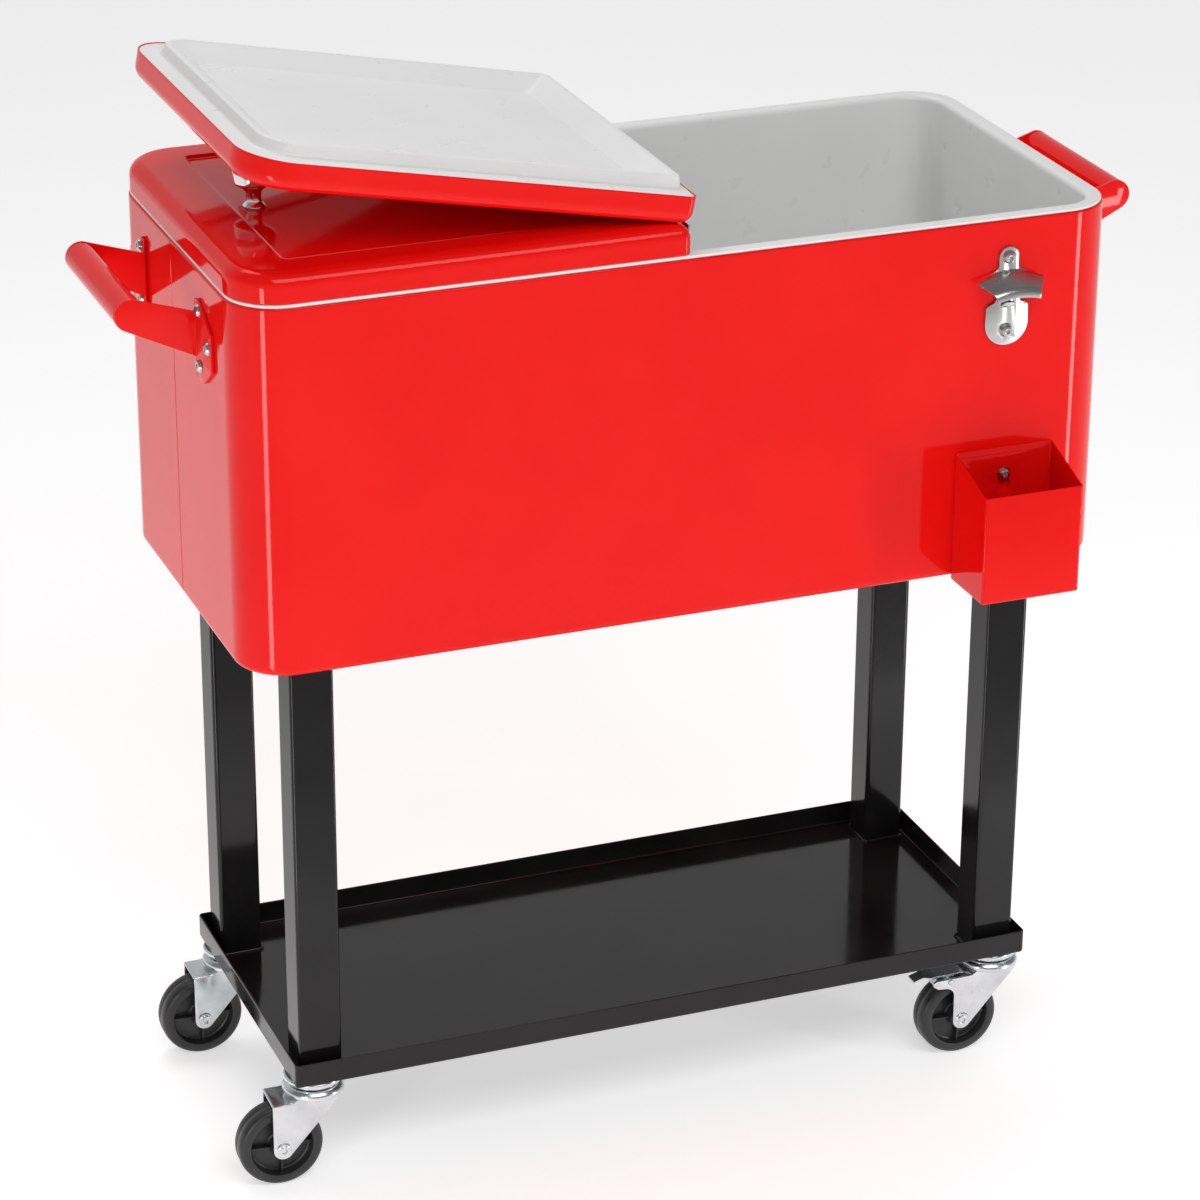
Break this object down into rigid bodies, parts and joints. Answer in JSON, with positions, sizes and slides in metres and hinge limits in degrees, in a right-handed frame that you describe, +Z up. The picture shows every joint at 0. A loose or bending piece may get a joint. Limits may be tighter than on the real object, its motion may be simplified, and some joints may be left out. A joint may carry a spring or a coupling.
{
  "type": "rolling patio cooler",
  "caption": "Insulated tub with two flip-over lids on a centre hinge, end handles, a bottle opener and cap catcher, on square legs with a shelf and casters.",
  "frame": {"origin": "on the floor, under the middle of the bounding box in the rest pose", "axes": "+X to the right-hand end seen from the opener side, +Y to the back, +Z up"},
  "size_m": [0.91, 0.4204, 0.9481],
  "materials": {
    "red_paint": "gloss red enamel over steel sheet",
    "white_liner": "semi-gloss white moulded plastic",
    "foam": "rigid closed-cell foam",
    "black_paint": "high-gloss black enamel",
    "zinc": "bright zinc plate",
    "stainless": "satin stainless steel",
    "chrome": "bright chrome plate",
    "wheel_plastic": "dark grey moulded plastic",
    "drain_plastic": "black moulded plastic"
  },
  "bodies": {
    "cooler": {"tub_shell": "red_paint", "tub_insulation": "foam", "tub_liner": "white_liner", "drain_spout": "drain_plastic", "hinge_bar": "stainless", "hinge_pin": "stainless", "bottom_shelf": "black_paint", "front_left_leg": "black_paint", "front_right_leg": "black_paint", "back_left_leg": "black_paint", "back_right_leg": "black_paint", "front_left_caster_stem": "zinc", "front_right_caster_stem": "zinc", "back_left_caster_stem": "zinc", "back_right_caster_stem": "zinc", "left_handle_front_bracket": "red_paint", "left_handle_rear_bracket": "red_paint", "left_handle_grip": "red_paint", "right_handle_front_bracket": "red_paint", "right_handle_rear_bracket": "red_paint", "right_handle_grip": "red_paint", "bottle_opener": "stainless", "opener_upper_screw": "stainless", "opener_lower_screw": "stainless", "catcher_screw": "stainless"},
    "left_lid": {"left_lid_shell": "red_paint", "left_lid_foam": "foam", "left_lid_liner": "white_liner", "left_lid_leaf": "stainless", "left_knob": "chrome", "left_knob_screw": "stainless"},
    "right_lid": {"right_lid_shell": "red_paint", "right_lid_foam": "foam", "right_lid_liner": "white_liner", "right_lid_leaf": "stainless", "right_knob": "chrome", "right_knob_screw": "stainless"},
    "cap_catcher": {"cap_catcher": "red_paint"},
    "drain_cap": {"drain_cap": "drain_plastic"},
    "front_left_fork": {"front_left_caster_fork": "zinc", "front_left_caster_axle": "zinc"},
    "front_left_wheel": {"front_left_caster_wheel": "wheel_plastic"},
    "front_right_fork": {"front_right_caster_fork": "zinc", "front_right_caster_axle": "zinc"},
    "front_right_wheel": {"front_right_caster_wheel": "wheel_plastic"},
    "front_right_pedal": {"front_right_brake_pedal": "zinc"},
    "back_left_fork": {"back_left_caster_fork": "zinc", "back_left_caster_axle": "zinc"},
    "back_left_wheel": {"back_left_caster_wheel": "wheel_plastic"},
    "back_right_fork": {"back_right_caster_fork": "zinc", "back_right_caster_axle": "zinc"},
    "back_right_wheel": {"back_right_caster_wheel": "wheel_plastic"},
    "back_right_pedal": {"back_right_brake_pedal": "zinc"}
  },
  "joints": [
    {"name": "left_lid_hinge", "type": "hinge", "parent": "cooler", "child": "left_lid", "pos_m": [0, 0.03115, 0.8455], "axis": [0, -1, 0], "range_deg": [-168.91, 0]},
    {"name": "right_lid_hinge", "type": "hinge", "parent": "left_lid", "child": "right_lid", "pos_m": [0, 0.03115, 0.8455], "axis": [0, 1, 0], "range_deg": [0, 168.91]},
    {"name": "cap_catcher_lift", "type": "slide", "parent": "cooler", "child": "cap_catcher", "axis": [0, 0, 1], "range_m": [0, 0.01]},
    {"name": "drain_cap_turn", "type": "hinge", "parent": "cooler", "child": "drain_cap", "pos_m": [0.395, 0.03115, 0.5425], "axis": [1, 0, 0], "range_deg": [0, 720]},
    {"name": "front_left_swivel", "type": "hinge", "parent": "cooler", "child": "front_left_fork", "pos_m": [-0.323, -0.09085, 0.09], "axis": [0, 0, 1], "continuous": true},
    {"name": "front_left_wheel_spin", "type": "hinge", "parent": "front_left_fork", "child": "front_left_wheel", "pos_m": [-0.35498, -0.08973, 0.0375], "axis": [0.0349, 0.9994, 0], "continuous": true},
    {"name": "front_right_swivel", "type": "hinge", "parent": "cooler", "child": "front_right_fork", "pos_m": [0.323, -0.09085, 0.09], "axis": [0, 0, 1], "continuous": true},
    {"name": "front_right_wheel_spin", "type": "hinge", "parent": "front_right_fork", "child": "front_right_wheel", "pos_m": [0.291, -0.09085, 0.0375], "axis": [0, 1, 0], "continuous": true},
    {"name": "front_right_brake", "type": "hinge", "parent": "front_right_fork", "child": "front_right_pedal", "pos_m": [0.278, -0.09085, 0.0785], "axis": [0, -1, 0], "range_deg": [0, 11]},
    {"name": "back_left_swivel", "type": "hinge", "parent": "cooler", "child": "back_left_fork", "pos_m": [-0.323, 0.15315, 0.09], "axis": [0, 0, 1], "continuous": true},
    {"name": "back_left_wheel_spin", "type": "hinge", "parent": "back_left_fork", "child": "back_left_wheel", "pos_m": [-0.355, 0.15315, 0.0375], "axis": [0, 1, 0], "continuous": true},
    {"name": "back_right_swivel", "type": "hinge", "parent": "cooler", "child": "back_right_fork", "pos_m": [0.323, 0.15315, 0.09], "axis": [0, 0, 1], "continuous": true},
    {"name": "back_right_wheel_spin", "type": "hinge", "parent": "back_right_fork", "child": "back_right_wheel", "pos_m": [0.29108, 0.15092, 0.0375], "axis": [-0.0698, 0.9976, 0], "continuous": true},
    {"name": "back_right_brake", "type": "hinge", "parent": "back_right_fork", "child": "back_right_pedal", "pos_m": [0.27811, 0.15001, 0.0785], "axis": [0.0698, -0.9976, 0], "range_deg": [0, 11]}
  ]
}
